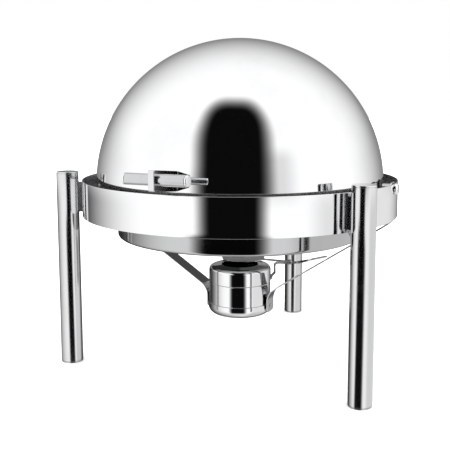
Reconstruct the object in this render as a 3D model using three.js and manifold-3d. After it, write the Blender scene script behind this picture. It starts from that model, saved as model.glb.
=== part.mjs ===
// Roll top chafer: a round food warmer on three legs. Its domed lid rolls back inside the support band,
// and a burner hangs below the water pan in a cradle on two arms.
// Millimetres, +Z up. The origin is on the floor under the band's centre, and the handle faces -Y.
// Angles round the stand are degrees from the front (-Y) towards the right (+X).
import * as THREE from 'three';
import Module from 'manifold-3d';
import { mergeVertices } from 'three/addons/utils/BufferGeometryUtils.js';

const wasm = await Module();
wasm.setup();
const rad = THREE.MathUtils.degToRad;

// ---- Driving dimensions -------------------------------------------------------------------------
const touchGap = 0.3; // left between pieces that rest on each other
const runningGap = 0.3; // radial, between a turning or threaded pair
const boreGap = 0.4; // radial, round a bolt that passes through a sheet

const lidRadius = 198;
const lidWall = 1.2;
const lidSkirt = 5; // how far the rim lies below the pivots
const lidEarRadius = 12;

const bandGap = 17.5; // from the lid's outside to the band's inside
const bandWall = 1.5;
const bandTop = 255;
const bandHeight = 48;

const legAngles = { left: -60, right: 60, rear: 180 };
const legRadius = 14.8;
const legWall = 1.5;
const legHeight = 266;
const legStandoff = 4.9; // from the band's outside to the leg's nearest side
const legCapThickness = 2.5;
const legPlugDepth = 8;
const legBoltSpacing = 24;
const legBoltRadius = 3;
const legBoltHeadRadius = 5.5;
const legBoltHeadHeight = 3.6;
const legSpacerWidth = 12;
const nutBarThickness = 6;

const pivotHeight = 248;
const pivotBoltRadius = 4;
const pivotHeadRadius = 7.8;
const pivotHeadHeight = 4.7;

const bushWall = 1.2;
const bushFlangeThickness = 2;
const pivotWasherThickness = 1.3;
const pivotWasherRadius = 8;

const handleWidth = 7.7;
const handleHeight = 24;
const handleReach = 53.5; // from the lid's outside to the bracket's front
const handleCentreAbovePivot = 26.8; // at the bracket's front
const handleRise = 6; // degrees that the bracket climbs away from the lid
const gripRadius = 6.85;
const gripWall = 2;
const gripLength = 81;
const gripSetback = 11.5; // from the bracket's front to the grip's axis
const gripCapThickness = 3;
const handleScrewRadius = 2;
const handleScrewHeadRadius = 3.8;
const handleScrewHeadHeight = 3.2;
const handleScrewDepth = 13; // thread inside the bracket
const handleScrewSpread = 3.8; // degrees between the two screws, seen from the pivots
const handleWasherRadius = 5;
const handleWasherThickness = 1;

const panLidGap = 14; // from the lid's outside to the water pan's flange
const waterPanFlangeWidth = 14;
const waterPanWall = 1.2;
const waterPanCorner = 5;
const waterPanDepth = 61;
const panShelfDrop = 12.5; // from the pivots down to the shelves under the pan
const foodPanInset = 3; // from the edge of the water pan's flange to the food pan's
const foodPanFlangeWidth = 21;
const foodPanWall = 1;
const foodPanCorner = 14;
const foodPanDepth = 45.3;

const hangerWidth = 26;
const hangerSheet = 1.5;
const hangerShelf = 20; // how far a shelf reaches under the pan
const frontBracketAngle = 35;
const frontBracketWidth = 20;
const frontBracketDrop = 21; // height of the tab on the band
const bumperLength = 10;
const bumperWidth = 12;

const armWidth = 25;
const armSheet = 1.5;
const armRise = 19.4; // from the cradle's rivets to the corner of an arm's lower bend
const armPanGap = 1.2; // between an arm and the water pan's corner
const armLowerBend = 20;
const armUpperBend = 6;
const armTabAbovePivot = 9;

const cradleRadius = 44.8;
const cradleWall = 1;
const cradleBottom = 62;
const cradleHeight = 16;
const cradleCorner = 11;
const cradleRivetRadius = 1.6;
const cradleRivetBelowRim = 2.7;

const burnerWall = 0.8;
const burnerSideGap = 0.5; // between the burner and the cradle
const burnerCorner = 10;
const burnerSeam = 107; // where the cover rests on the cup's shoulder
const burnerNeckHeight = 14;
const coverRadius = 43.8;
const coverWall = 1;
const coverFit = 0.5; // between the cover and the cup's neck
const coverTop = 131.3;
const coverCorner = 6;
const coverCone = 1.3; // rise from the cover's shoulder to its mouth
const coverMouthRadius = 26;

const burnerHandleAngle = 118.5;
const burnerHandleWidth = 10;
const burnerHandleSheet = 1.5;
const burnerHandleStandoff = 50; // radius of the upright part
const burnerHandleLevel = 84; // radius where the handle starts to rise
const burnerHandleEnd = 126;
const burnerHandleRise = 8;
const burnerHandleTab = 5;
const burnerRivetRadius = 1.3;
const snufferRadius = 31;
const snufferThickness = 1.2;
const snufferArmWidth = 10;
const snufferPivotRadius = 70.7; // from the burner's axis
const snufferOpenAngle = 28; // degrees from closed, as it stands
const snufferRivetRadius = 2;
const snufferRivetHeadRadius = 4;
const snufferRivetHeadHeight = 1.5;

// ---- Sizes that follow ---------------------------------------------------------------------------
const bandInner = lidRadius + bandGap;
const bandRadius = bandInner + bandWall;
const bandMiddle = bandTop - bandHeight / 2;
const legCentre = bandRadius + legStandoff + legRadius;
const legInner = legRadius - legWall;
const lidInner = lidRadius - lidWall;
const panShelfTop = pivotHeight - panShelfDrop;
const waterFlange = panShelfTop + touchGap;
const waterPanBottom = waterFlange + waterPanWall - waterPanDepth;
const waterPanFlangeRadius = lidRadius - panLidGap;
const waterPanRadius = waterPanFlangeRadius - waterPanFlangeWidth;
const foodFlange = waterFlange + waterPanWall + touchGap;
const foodPanFlangeRadius = waterPanFlangeRadius - foodPanInset;
const foodPanRadius = foodPanFlangeRadius - foodPanFlangeWidth;
const sheetSag = (width) => bandInner - Math.sqrt(bandInner ** 2 - (width / 2) ** 2);
const seatOnBand = (width) => bandInner - sheetSag(width) - 2 * touchGap;

const segments = { band: 72, lid: 48, pan: 40, burner: 24, leg: 20, ring: 18, bolt: 12 };

// ---- Finishes ------------------------------------------------------------------------------------
const finishes = {
  mirrorSteel: { color: 0xd6d8da, roughness: 0.06, metalness: 1 },
  satinSteel: { color: 0xc4c6c8, roughness: 0.3, metalness: 1 },
  fastenerSteel: { color: 0xb4b6b8, roughness: 0.25, metalness: 1 },
  nylon: { color: 0x2a2a2c, roughness: 0.6, metalness: 0 },
  rubber: { color: 0x1a1a1a, roughness: 0.8, metalness: 0 },
};

// ---- Shape helpers -------------------------------------------------------------------------------
const point = (x, y) => new THREE.Vector2(x, y);

// Shared corners, no sliver triangles, and faces pointing out.
function closedSolid(geometry) {
  const bare = geometry.clone();
  bare.deleteAttribute('normal');
  bare.deleteAttribute('uv');
  const merged = mergeVertices(bare, 1e-4);
  const places = merged.getAttribute('position');
  const corner = (i) => new THREE.Vector3().fromBufferAttribute(places, i);
  const triangles = [];
  let volume = 0;
  for (let i = 0; i < merged.index.count; i += 3) {
    const [a, b, c] = [0, 1, 2].map((k) => merged.index.getX(i + k));
    if (a === b || b === c || a === c) continue;
    triangles.push([a, b, c]);
    volume += corner(a).dot(corner(b).cross(corner(c)));
  }
  const facing = volume < 0 ? triangles.map(([a, b, c]) => [a, c, b]) : triangles;
  merged.setIndex(facing.flat());
  return merged;
}

function toManifold(geometry) {
  const solid = closedSolid(geometry);
  const vertProperties = new Float32Array(solid.getAttribute('position').array);
  const triVerts = new Uint32Array(solid.index.array);
  return new wasm.Manifold(new wasm.Mesh({ numProp: 3, vertProperties, triVerts }));
}

function fromManifold(solid) {
  const mesh = solid.getMesh();
  const geometry = new THREE.BufferGeometry();
  geometry.setAttribute('position', new THREE.BufferAttribute(new Float32Array(mesh.vertProperties), 3));
  geometry.setIndex(new THREE.BufferAttribute(new Uint32Array(mesh.triVerts), 1));
  return geometry;
}

function cut(body, ...tools) {
  const result = tools.reduce((left, tool) => left.subtract(toManifold(tool)), toManifold(body));
  return fromManifold(result);
}

// A profile of (radius, height) points turned about the Z axis.
function turned(profile, sides) {
  return closedSolid(new THREE.LatheGeometry(profile, sides).rotateX(Math.PI / 2));
}

function rod(radius, from, to, sides = segments.bolt) {
  return turned([point(0, from), point(radius, from), point(radius, to), point(0, to)], sides);
}

function tube(outer, inner, from, to, sides) {
  const corners = [point(inner, from), point(outer, from), point(outer, to), point(inner, to), point(inner, from)];
  return turned(corners, sides);
}

const alongX = (geometry) => geometry.rotateY(Math.PI / 2);

function rodAlongX(radius, from, to, height = 0, sides = segments.bolt) {
  return alongX(rod(radius, from, to, sides)).translate(0, 0, height);
}

function arc(centreX, centreY, radius, from, to, steps) {
  const at = (i) => rad(from + ((to - from) * i) / steps);
  const turn = (angle) => point(centreX + radius * Math.cos(angle), centreY + radius * Math.sin(angle));
  return Array.from({ length: steps + 1 }, (_, i) => turn(at(i)));
}

// Corner points with every inner corner replaced by an arc.
function roundedPath(corners, radii, steps = 6) {
  const path = [corners[0]];
  for (let i = 1; i < corners.length - 1; i += 1) {
    const into = corners[i].clone().sub(corners[i - 1]).normalize();
    const out = corners[i + 1].clone().sub(corners[i]).normalize();
    const bend = Math.atan2(into.cross(out), into.dot(out));
    const reach = radii[i - 1] * Math.tan(Math.abs(bend) / 2);
    const side = Math.sign(bend) * radii[i - 1];
    const start = corners[i].clone().addScaledVector(into, -reach);
    const centre = point(start.x - into.y * side, start.y + into.x * side);
    for (let k = 0; k <= steps; k += 1) {
      path.push(start.clone().rotateAround(centre, (bend * k) / steps));
    }
  }
  path.push(corners[corners.length - 1]);
  return path;
}

// A strip of sheet that follows a path in the X-Z plane, centred on y = 0.
function bentStrip(path, sheet, width) {
  const sideways = path.map((_, i) => {
    const before = path[Math.max(i - 1, 0)];
    const after = path[Math.min(i + 1, path.length - 1)];
    const along = after.clone().sub(before).normalize();
    return point(-along.y, along.x).multiplyScalar(sheet / 2);
  });
  const left = path.map((place, i) => place.clone().add(sideways[i]));
  const right = path.map((place, i) => place.clone().sub(sideways[i]));
  const outline = new THREE.Shape([...left, ...right.reverse()]);
  const strip = new THREE.ExtrudeGeometry(outline, { depth: width, bevelEnabled: false });
  return closedSolid(strip.rotateX(Math.PI / 2).translate(0, width / 2, 0));
}

function boltProfile(shankRadius, tip, seat, headRadius, headHeight) {
  const edge = Math.min(headHeight * 0.6, headRadius * 0.3);
  const towards = Math.sign(seat - tip);
  const crown = arc(0, 0, edge, 0, 90, 2).map((p) => point(p.x, p.y * towards));
  const shift = point(headRadius - edge, seat + towards * (headHeight - edge));
  return [
    point(0, tip),
    point(shankRadius, tip),
    point(shankRadius, seat),
    point(headRadius, seat),
    ...crown.map((p) => p.add(shift)),
    point(0, seat + towards * headHeight),
  ];
}

// ---- Scene helpers -------------------------------------------------------------------------------
const chafer = new THREE.Group();

function addPiece(name, geometry, finish, parent = chafer) {
  const mesh = new THREE.Mesh(geometry, new THREE.MeshStandardMaterial(finishes[finish]));
  mesh.name = name;
  parent.add(mesh);
  return mesh;
}

const turnTo = (angle) => rad(angle - 90);

// A group whose +X points outwards at an angle round the stand.
function outwardGroup(angle) {
  const group = new THREE.Group();
  group.rotation.z = turnTo(angle);
  chafer.add(group);
  return group;
}

// ---- Stand: band and legs -------------------------------------------------------------------------
const legBoltHeights = [-0.5, 0.5].map((share) => bandMiddle + share * legBoltSpacing);

function makeBand() {
  const ring = tube(bandRadius, bandInner, bandTop - bandHeight, bandTop, segments.band);
  const boltHoles = Object.values(legAngles).flatMap((angle) =>
    legBoltHeights.map((height) =>
      rodAlongX(legBoltRadius + boreGap, bandInner - 5, bandRadius + 5, height).rotateZ(turnTo(angle))));
  const pivotHole = rodAlongX(pivotBoltRadius + boreGap, -bandRadius - 5, bandRadius + 5, pivotHeight);
  addPiece('support_band', cut(ring, ...boltHoles, pivotHole), 'mirrorSteel');
}

function legEnd(edge) {
  const plug = legInner - touchGap;
  const rim = legRadius - 0.2;
  return turned([
    point(0, -legPlugDepth),
    point(plug, -legPlugDepth),
    point(plug, touchGap),
    point(rim, touchGap),
    ...arc(rim - edge, legCapThickness - edge, edge, 0, 90, 2),
    point(0, legCapThickness),
  ], segments.leg);
}

function nutBar(length) {
  const radius = legInner - touchGap;
  const half = Math.acos((radius - nutBarThickness) / radius);
  const outline = new THREE.Shape();
  outline.absarc(0, 0, radius, Math.PI - half, Math.PI + half, false);
  const bar = new THREE.ExtrudeGeometry(outline, { depth: length, bevelEnabled: false, curveSegments: 10 });
  return closedSolid(bar.translate(legCentre, 0, bandMiddle - length / 2));
}

function legSpacer(length) {
  const near = bandRadius + touchGap;
  const depth = legCentre - near;
  const block = new THREE.BoxGeometry(depth, legSpacerWidth, length);
  block.translate(near + depth / 2, 0, bandMiddle);
  const saddle = rod(legRadius + touchGap, 0, legHeight, 36).translate(legCentre, 0, 0);
  return [block, saddle];
}

function makeLeg(side, angle) {
  const group = outwardGroup(angle);
  const barLength = legBoltSpacing + 16;
  const holes = (radius, to) => legBoltHeights.map((height) => rodAlongX(radius, bandInner, to, height));
  const through = holes(legBoltRadius + boreGap, legCentre);
  const shaft = tube(legRadius, legInner, legCapThickness, legHeight - legCapThickness, segments.leg);
  addPiece(`leg_${side}`, cut(shaft.translate(legCentre, 0, 0), ...through), 'mirrorSteel', group);
  const cap = legEnd(1.2).translate(legCentre, 0, legHeight - legCapThickness);
  addPiece(`leg_cap_${side}`, cap, 'mirrorSteel', group);
  const foot = legEnd(0.8).rotateX(Math.PI).translate(legCentre, 0, legCapThickness);
  addPiece(`leg_foot_${side}`, foot, 'satinSteel', group);
  const barHoles = holes(legBoltRadius + runningGap, legCentre);
  addPiece(`leg_nut_bar_${side}`, cut(nutBar(barLength), ...barHoles), 'fastenerSteel', group);
  addPiece(`leg_spacer_${side}`, cut(...legSpacer(barLength), ...through), 'satinSteel', group);
  const seat = bandInner - 2 * touchGap;
  const tip = legCentre - legInner + nutBarThickness;
  const profile = boltProfile(legBoltRadius, tip, seat, legBoltHeadRadius, legBoltHeadHeight);
  ['lower', 'upper'].forEach((level, i) => {
    const bolt = alongX(turned(profile, segments.bolt)).translate(0, 0, legBoltHeights[i]);
    addPiece(`leg_bolt_${side}_${level}`, bolt, 'fastenerSteel', group);
  });
}

// ---- Pans and the brackets that carry them --------------------------------------------------------
function panProfile(radius, wall, corner, bottom, flangeBottom, flangeRadius) {
  const outside = arc(radius - corner, bottom + corner, corner, -90, 0, 5);
  const inside = arc(radius - corner, bottom + corner, corner - wall, 0, -90, 5);
  return [
    point(0, bottom),
    ...outside,
    point(radius, flangeBottom),
    point(flangeRadius, flangeBottom),
    point(flangeRadius, flangeBottom + wall),
    point(radius - wall, flangeBottom + wall),
    ...inside,
    point(0, bottom + wall),
  ];
}

function makePans() {
  const water = panProfile(
    waterPanRadius, waterPanWall, waterPanCorner, waterPanBottom, waterFlange, waterPanFlangeRadius);
  addPiece('water_pan', turned(water, segments.pan), 'mirrorSteel');
  const foodBottom = foodFlange + foodPanWall - foodPanDepth;
  const food = panProfile(
    foodPanRadius, foodPanWall, foodPanCorner, foodBottom, foodFlange, foodPanFlangeRadius);
  addPiece('food_pan', turned(food, segments.pan), 'mirrorSteel');
}

const shelfEnd = waterPanFlangeRadius - 12;
const shelfMiddle = panShelfTop - hangerSheet / 2;

function makeFrontBracket(side, angle) {
  const group = outwardGroup(angle);
  const upright = seatOnBand(frontBracketWidth) - hangerSheet / 2;
  const corners = [
    point(upright, shelfMiddle - frontBracketDrop),
    point(upright, shelfMiddle),
    point(shelfEnd, shelfMiddle),
  ];
  const strip = bentStrip(roundedPath(corners, [3]), hangerSheet, frontBracketWidth);
  addPiece(`pan_bracket_${side}`, strip, 'satinSteel', group);
  const rimHeight = pivotHeight - lidSkirt;
  const low = panShelfTop + touchGap;
  const block = new THREE.BoxGeometry(bumperLength, bumperWidth, rimHeight - touchGap - low);
  block.translate(lidRadius - lidWall / 2, 0, (rimHeight - touchGap + low) / 2);
  addPiece(`lid_bumper_${side}`, closedSolid(block), 'rubber', group);
}

// ---- Lid pivots: every piece is threaded on the bolt, from the band inwards ---------------------------
const armTabFace = seatOnBand(armWidth);
const bushFace = lidRadius + touchGap;
const bushBore = pivotBoltRadius + runningGap;
const bushSleeve = bushBore + bushWall;
const washerOuter = lidInner - 6 * touchGap;
const hangerOuter = washerOuter - pivotWasherThickness - touchGap;
const nutOuter = hangerOuter - hangerSheet - touchGap;
const nutThickness = 5;
const nutWidth = 13;

function makePivot(side, angle) {
  const group = outwardGroup(angle);
  group.position.z = pivotHeight;
  const seat = bandRadius + touchGap;
  const tip = nutOuter - nutThickness - 0.7;
  const bolt = turned(boltProfile(pivotBoltRadius, tip, seat, pivotHeadRadius, pivotHeadHeight), segments.ring);
  addPiece(`pivot_bolt_${side}`, alongX(bolt), 'mirrorSteel', group);
  const spacerInner = bushFace + bushFlangeThickness + touchGap;
  const spacer = tube(pivotBoltRadius + 3, bushBore, spacerInner, armTabFace - armSheet - touchGap, segments.ring);
  addPiece(`pivot_spacer_${side}`, alongX(spacer), 'satinSteel', group);
  const washer = tube(pivotWasherRadius, bushBore, washerOuter - pivotWasherThickness, washerOuter, segments.ring);
  addPiece(`pivot_washer_${side}`, alongX(washer), 'nylon', group);
  const hexagon = rod(nutWidth / Math.sqrt(3), nutOuter - nutThickness, nutOuter, 6);
  const nut = cut(alongX(hexagon), rodAlongX(bushBore, 0, lidRadius));
  addPiece(`pivot_nut_${side}`, nut, 'fastenerSteel', group);
  addPiece(`pan_hanger_${side}`, makeHanger(), 'satinSteel', group);
  addPiece(`lid_bush_${side}`, alongX(makeBush()), 'nylon', group);
}

function makeHanger() {
  const upright = hangerOuter - hangerSheet / 2;
  const corners = [
    point(upright, 11),
    point(upright, shelfMiddle - pivotHeight),
    point(shelfEnd, shelfMiddle - pivotHeight),
  ];
  const strip = bentStrip(roundedPath(corners, [2]), hangerSheet, hangerWidth);
  return cut(strip, rodAlongX(bushBore, 0, lidRadius));
}

function makeBush() {
  const flange = bushFace + bushFlangeThickness;
  const sleeveEnd = washerOuter + touchGap;
  return turned([
    point(bushBore, sleeveEnd),
    point(bushSleeve, sleeveEnd),
    point(bushSleeve, bushFace),
    point(lidEarRadius, bushFace),
    point(lidEarRadius, flange),
    point(bushBore, flange),
    point(bushBore, sleeveEnd),
  ], segments.ring);
}

// ---- Lid and its handle ----------------------------------------------------------------------------
const handleSeatAbovePivot = handleCentreAbovePivot - handleReach * Math.tan(rad(handleRise));
const handleElevation = THREE.MathUtils.radToDeg(Math.asin(handleSeatAbovePivot / lidRadius));
const handleScrewAngles = [-0.5, 0.5].map((share) => handleElevation + share * handleScrewSpread);
const handleFront = lidRadius + handleReach;
const gripCentre = handleFront - gripSetback;

// From a rod along +X to one that leaves the pivot centre towards the front, tilted up.
const towardsFront = (geometry, elevation) => geometry.rotateY(-rad(elevation)).rotateZ(turnTo(0));

function makeDome() {
  const lowest = -THREE.MathUtils.radToDeg(Math.asin((lidEarRadius + 1) / lidRadius));
  const profile = [
    ...arc(0, 0, lidInner, 90, lowest, 15),
    ...arc(0, 0, lidRadius, lowest, 90, 15),
  ];
  profile[0].x = 0;
  profile[profile.length - 1].x = 0;
  const below = rod(lidRadius + 5, -lidEarRadius - 5, -lidSkirt, 24);
  const ears = rodAlongX(lidEarRadius, -lidRadius - 10, lidRadius + 10, 0, segments.leg);
  const bushHole = rodAlongX(bushSleeve + boreGap, -lidRadius - 10, lidRadius + 10, 0, segments.ring);
  const screwHoles = handleScrewAngles.map((angle) =>
    towardsFront(rodAlongX(handleScrewRadius + boreGap, lidInner - 10, lidRadius + 10), angle));
  return cut(turned(profile, segments.lid), cut(below, ears), bushHole, ...screwHoles);
}

function makeHandleBracket() {
  const top = handleCentreAbovePivot + handleHeight / 2;
  const low = handleCentreAbovePivot - handleHeight / 2;
  const round = 2.5;
  const back = lidRadius - 15;
  const drop = (handleFront - back) * Math.tan(rad(handleRise));
  const side = new THREE.Shape([
    point(back, low - drop),
    ...arc(handleFront - round, low + round, round, handleRise - 90, 0, 4),
    ...arc(handleFront - round, top - round, round, 0, 90 + handleRise, 4),
    point(back, top - drop),
  ]);
  const plate = new THREE.ExtrudeGeometry(side, { depth: handleWidth, bevelEnabled: false });
  plate.rotateX(Math.PI / 2).translate(0, handleWidth / 2, 0).rotateZ(turnTo(0));
  const sphere = new THREE.SphereGeometry(lidRadius + 2 * touchGap, 96, 48);
  const gripHole = rodAlongX(
    gripRadius + touchGap, -handleWidth, handleWidth, handleCentreAbovePivot, segments.leg);
  gripHole.translate(0, -gripCentre, 0);
  const screwEnd = lidRadius + handleScrewDepth + 1;
  const screwHoles = handleScrewAngles.map((angle) =>
    towardsFront(rodAlongX(handleScrewRadius + runningGap, lidInner, screwEnd), angle));
  return cut(plate, sphere, gripHole, ...screwHoles);
}

function gripCap(edge = 1) {
  const plug = gripRadius - gripWall - touchGap;
  return alongX(turned([
    point(0, -7),
    point(plug, -7),
    point(plug, touchGap),
    point(gripRadius, touchGap),
    ...arc(gripRadius - edge, gripCapThickness - edge, edge, 0, 90, 2),
    point(0, gripCapThickness),
  ], segments.leg));
}

function makeHandle(lid) {
  addPiece('handle_bracket', makeHandleBracket(), 'mirrorSteel', lid);
  const grip = new THREE.Group();
  grip.position.set(0, -gripCentre, handleCentreAbovePivot);
  lid.add(grip);
  const tubeEnd = gripLength / 2 - gripCapThickness;
  const bar = alongX(tube(gripRadius, gripRadius - gripWall, -tubeEnd, tubeEnd, segments.leg));
  addPiece('handle_grip', bar, 'satinSteel', grip);
  addPiece('grip_cap_right', gripCap().translate(tubeEnd, 0, 0), 'satinSteel', grip);
  addPiece('grip_cap_left', gripCap().rotateZ(Math.PI).translate(-tubeEnd, 0, 0), 'satinSteel', grip);
  const washerTop = lidInner - 5 * touchGap;
  const seat = washerTop - handleWasherThickness - touchGap;
  const screw = boltProfile(
    handleScrewRadius, lidRadius + handleScrewDepth, seat, handleScrewHeadRadius, handleScrewHeadHeight);
  ['lower', 'upper'].forEach((level, i) => {
    const angle = handleScrewAngles[i];
    const shaft = towardsFront(alongX(turned(screw, segments.bolt)), angle);
    addPiece(`handle_screw_${level}`, shaft, 'fastenerSteel', lid);
    const ring = tube(
      handleWasherRadius, handleScrewRadius + boreGap, washerTop - handleWasherThickness, washerTop, segments.bolt);
    addPiece(`handle_washer_${level}`, towardsFront(alongX(ring), angle), 'fastenerSteel', lid);
  });
}

function makeLid() {
  const lid = new THREE.Group();
  lid.position.z = pivotHeight;
  chafer.add(lid);
  addPiece('lid_dome', makeDome(), 'mirrorSteel', lid);
  makeHandle(lid);
}

// ---- Burner arms and cradle ------------------------------------------------------------------------
const armFoot = cradleRadius + touchGap + armSheet / 2;
const cradleRivetHeight = cradleBottom + cradleHeight - cradleRivetBelowRim;

// From the lower bend the arm slopes up, and passes just under the water pan's bottom corner.
const armFootHeight = cradleRivetHeight + armRise;
const panCorner = point(waterPanRadius - waterPanCorner, waterPanBottom + waterPanCorner);
const footToCorner = panCorner.clone().sub(point(armFoot, armFootHeight));
const armClear = waterPanCorner + armPanGap + armSheet / 2;
const armSlope = footToCorner.angle() - Math.asin(armClear / footToCorner.length());

function makeArm(side, angle) {
  const group = outwardGroup(angle);
  const tab = armTabFace - armSheet / 2;
  const corners = [
    point(armFoot, cradleRivetHeight - 8),
    point(armFoot, armFootHeight),
    point(tab, armFootHeight + Math.tan(armSlope) * (tab - armFoot)),
    point(tab, pivotHeight + armTabAbovePivot),
  ];
  const strip = bentStrip(roundedPath(corners, [armLowerBend, armUpperBend]), armSheet, armWidth);
  const boltHole = rodAlongX(pivotBoltRadius + boreGap, bandInner - 20, bandRadius, pivotHeight);
  const rivetHole = rodAlongX(cradleRivetRadius + runningGap, 0, cradleRadius + 10, cradleRivetHeight);
  addPiece(`burner_arm_${side}`, cut(strip, boltHole, rivetHole), 'mirrorSteel', group);
  const seat = armFoot + armSheet / 2 + touchGap;
  const rivet = boltProfile(cradleRivetRadius, cradleRadius - cradleWall + 0.1, seat, 3, 1.2);
  const placed = alongX(turned(rivet, 12)).translate(0, 0, cradleRivetHeight);
  addPiece(`cradle_rivet_${side}`, placed, 'fastenerSteel', group);
}

function makeCradle() {
  const bottom = cradleBottom;
  const centre = cradleRadius - cradleCorner;
  const rim = cradleBottom + cradleHeight;
  const profile = [
    point(0, bottom),
    ...arc(centre, bottom + cradleCorner, cradleCorner, -90, 0, 6),
    point(cradleRadius, rim),
    point(cradleRadius - cradleWall, rim),
    ...arc(centre, bottom + cradleCorner, cradleCorner - cradleWall, 0, -90, 6),
    point(0, bottom + cradleWall),
  ];
  const hole = rodAlongX(
    cradleRivetRadius + runningGap, -cradleRadius - 5, cradleRadius + 5, cradleRivetHeight);
  addPiece('burner_cradle', cut(turned(profile, segments.burner), hole), 'mirrorSteel');
}

// ---- Burner -----------------------------------------------------------------------------------------
const burnerRadius = cradleRadius - cradleWall - burnerSideGap;
const burnerBottom = cradleBottom + cradleWall + touchGap;
const coverInner = coverRadius - coverWall;

function makeBurnerCup() {
  const neck = coverInner - coverFit;
  const inner = burnerRadius - burnerWall;
  const top = burnerSeam + burnerNeckHeight;
  const low = burnerBottom + burnerCorner;
  addPiece('burner_cup', turned([
    point(0, burnerBottom),
    ...arc(burnerRadius - burnerCorner, low, burnerCorner, -90, 0, 6),
    point(burnerRadius, burnerSeam),
    point(neck, burnerSeam),
    point(neck, top),
    point(neck - burnerWall, top),
    point(neck - burnerWall, burnerSeam - burnerWall),
    point(inner, burnerSeam - burnerWall),
    ...arc(burnerRadius - burnerCorner, low, burnerCorner - burnerWall, 0, -90, 6),
    point(0, burnerBottom + burnerWall),
  ], segments.burner), 'mirrorSteel');
}

function makeBurnerCover() {
  const low = burnerSeam + touchGap;
  const shoulder = coverTop - coverCone - coverCorner;
  const centre = coverRadius - coverCorner;
  const profile = [
    point(coverInner, low),
    point(coverRadius, low),
    ...arc(centre, shoulder, coverCorner, 0, 90, 5),
    point(coverMouthRadius, coverTop),
    point(coverMouthRadius, coverTop - coverWall),
    ...arc(centre, shoulder, coverCorner - coverWall, 90, 0, 5),
    point(coverInner, low),
  ];
  const rivetHeight = burnerSeam + touchGap + burnerHandleTab / 2;
  const rivetHole = rodAlongX(burnerRivetRadius + runningGap, coverInner - 5, coverRadius + 5, rivetHeight);
  const cover = cut(turned(profile, segments.burner), rivetHole.rotateZ(turnTo(burnerHandleAngle)));
  addPiece('burner_cover', cover, 'mirrorSteel');
}

function makeBurnerHandle() {
  const group = outwardGroup(burnerHandleAngle);
  const low = burnerSeam + touchGap;
  const foot = coverRadius + touchGap + burnerHandleSheet / 2;
  const level = snufferLow - touchGap - burnerHandleSheet / 2;
  const step = burnerHandleStandoff - foot;
  const corners = [
    point(foot, low),
    point(foot, low + burnerHandleTab),
    point(burnerHandleStandoff, low + burnerHandleTab + step),
    point(burnerHandleStandoff, level),
    point(burnerHandleLevel, level),
    point(burnerHandleEnd, level + burnerHandleRise),
  ];
  const strip = bentStrip(roundedPath(corners, [2, 2, 3, 20], 4), burnerHandleSheet, burnerHandleWidth);
  const rivetHeight = low + burnerHandleTab / 2;
  const footHole = rodAlongX(burnerRivetRadius + runningGap, 0, foot + 3, rivetHeight);
  const pivotHole = rod(snufferRivetRadius + runningGap, level - 5, level + 5);
  const handle = cut(strip, footHole, pivotHole.translate(snufferPivotRadius, 0, 0));
  addPiece('burner_handle', handle, 'mirrorSteel', group);
  const seat = foot + burnerHandleSheet / 2 + touchGap;
  const rivet = turned(boltProfile(burnerRivetRadius, coverInner + 0.2, seat, 2.2, 1), 12);
  addPiece('burner_handle_rivet', alongX(rivet).translate(0, 0, rivetHeight), 'fastenerSteel', group);
  addPiece('snuffer_rivet', makeSnufferRivet(level).translate(snufferPivotRadius, 0, 0), 'fastenerSteel', group);
}

function makeSnufferRivet(level) {
  const under = level - burnerHandleSheet / 2 - touchGap;
  const over = snufferLow + snufferThickness + touchGap;
  const head = snufferRivetHeadHeight;
  return turned([
    point(0, under - head),
    point(snufferRivetHeadRadius * 0.8, under - head),
    point(snufferRivetHeadRadius, under),
    point(snufferRivetRadius, under),
    point(snufferRivetRadius, over),
    point(snufferRivetHeadRadius, over),
    point(snufferRivetHeadRadius * 0.8, over + head),
    point(0, over + head),
  ], segments.bolt);
}

const snufferLow = coverTop + 2 * touchGap + 0.1;

// A disc over the burner's mouth, with an arm that swings on a rivet in the handle.
function makeSnuffer() {
  const place = outwardGroup(burnerHandleAngle);
  const swing = new THREE.Group();
  swing.position.x = snufferPivotRadius;
  swing.rotation.z = -rad(snufferOpenAngle);
  place.add(swing);
  const half = snufferArmWidth / 2;
  const notch = Math.asin(half / snufferRadius);
  const outline = new THREE.Shape();
  outline.absarc(-snufferPivotRadius, 0, snufferRadius, notch, 2 * Math.PI - notch, false);
  outline.absarc(0, 0, half, -Math.PI / 2, Math.PI / 2, false);
  const sheet = new THREE.ExtrudeGeometry(
    outline, { depth: snufferThickness, bevelEnabled: false, curveSegments: 18 });
  const hole = rod(snufferRivetRadius + runningGap, -2, 2 * snufferThickness);
  addPiece('snuffer_lid', cut(sheet, hole).translate(0, 0, snufferLow), 'satinSteel', swing);
}

// ---- Assembly -----------------------------------------------------------------------------------------
makeBand();
Object.entries(legAngles).forEach(([side, angle]) => makeLeg(side, angle));
makePans();
makeCradle();
makeBurnerCup();
makeBurnerCover();
makeBurnerHandle();
makeSnuffer();
makeLid();
[['left', -1], ['right', 1]].forEach(([side, sign]) => {
  makePivot(side, 90 * sign);
  makeArm(side, 90 * sign);
  makeFrontBracket(side, frontBracketAngle * sign);
});

export default chafer;
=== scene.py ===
import math

import bmesh
import bpy
from mathutils import Matrix, Vector


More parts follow.
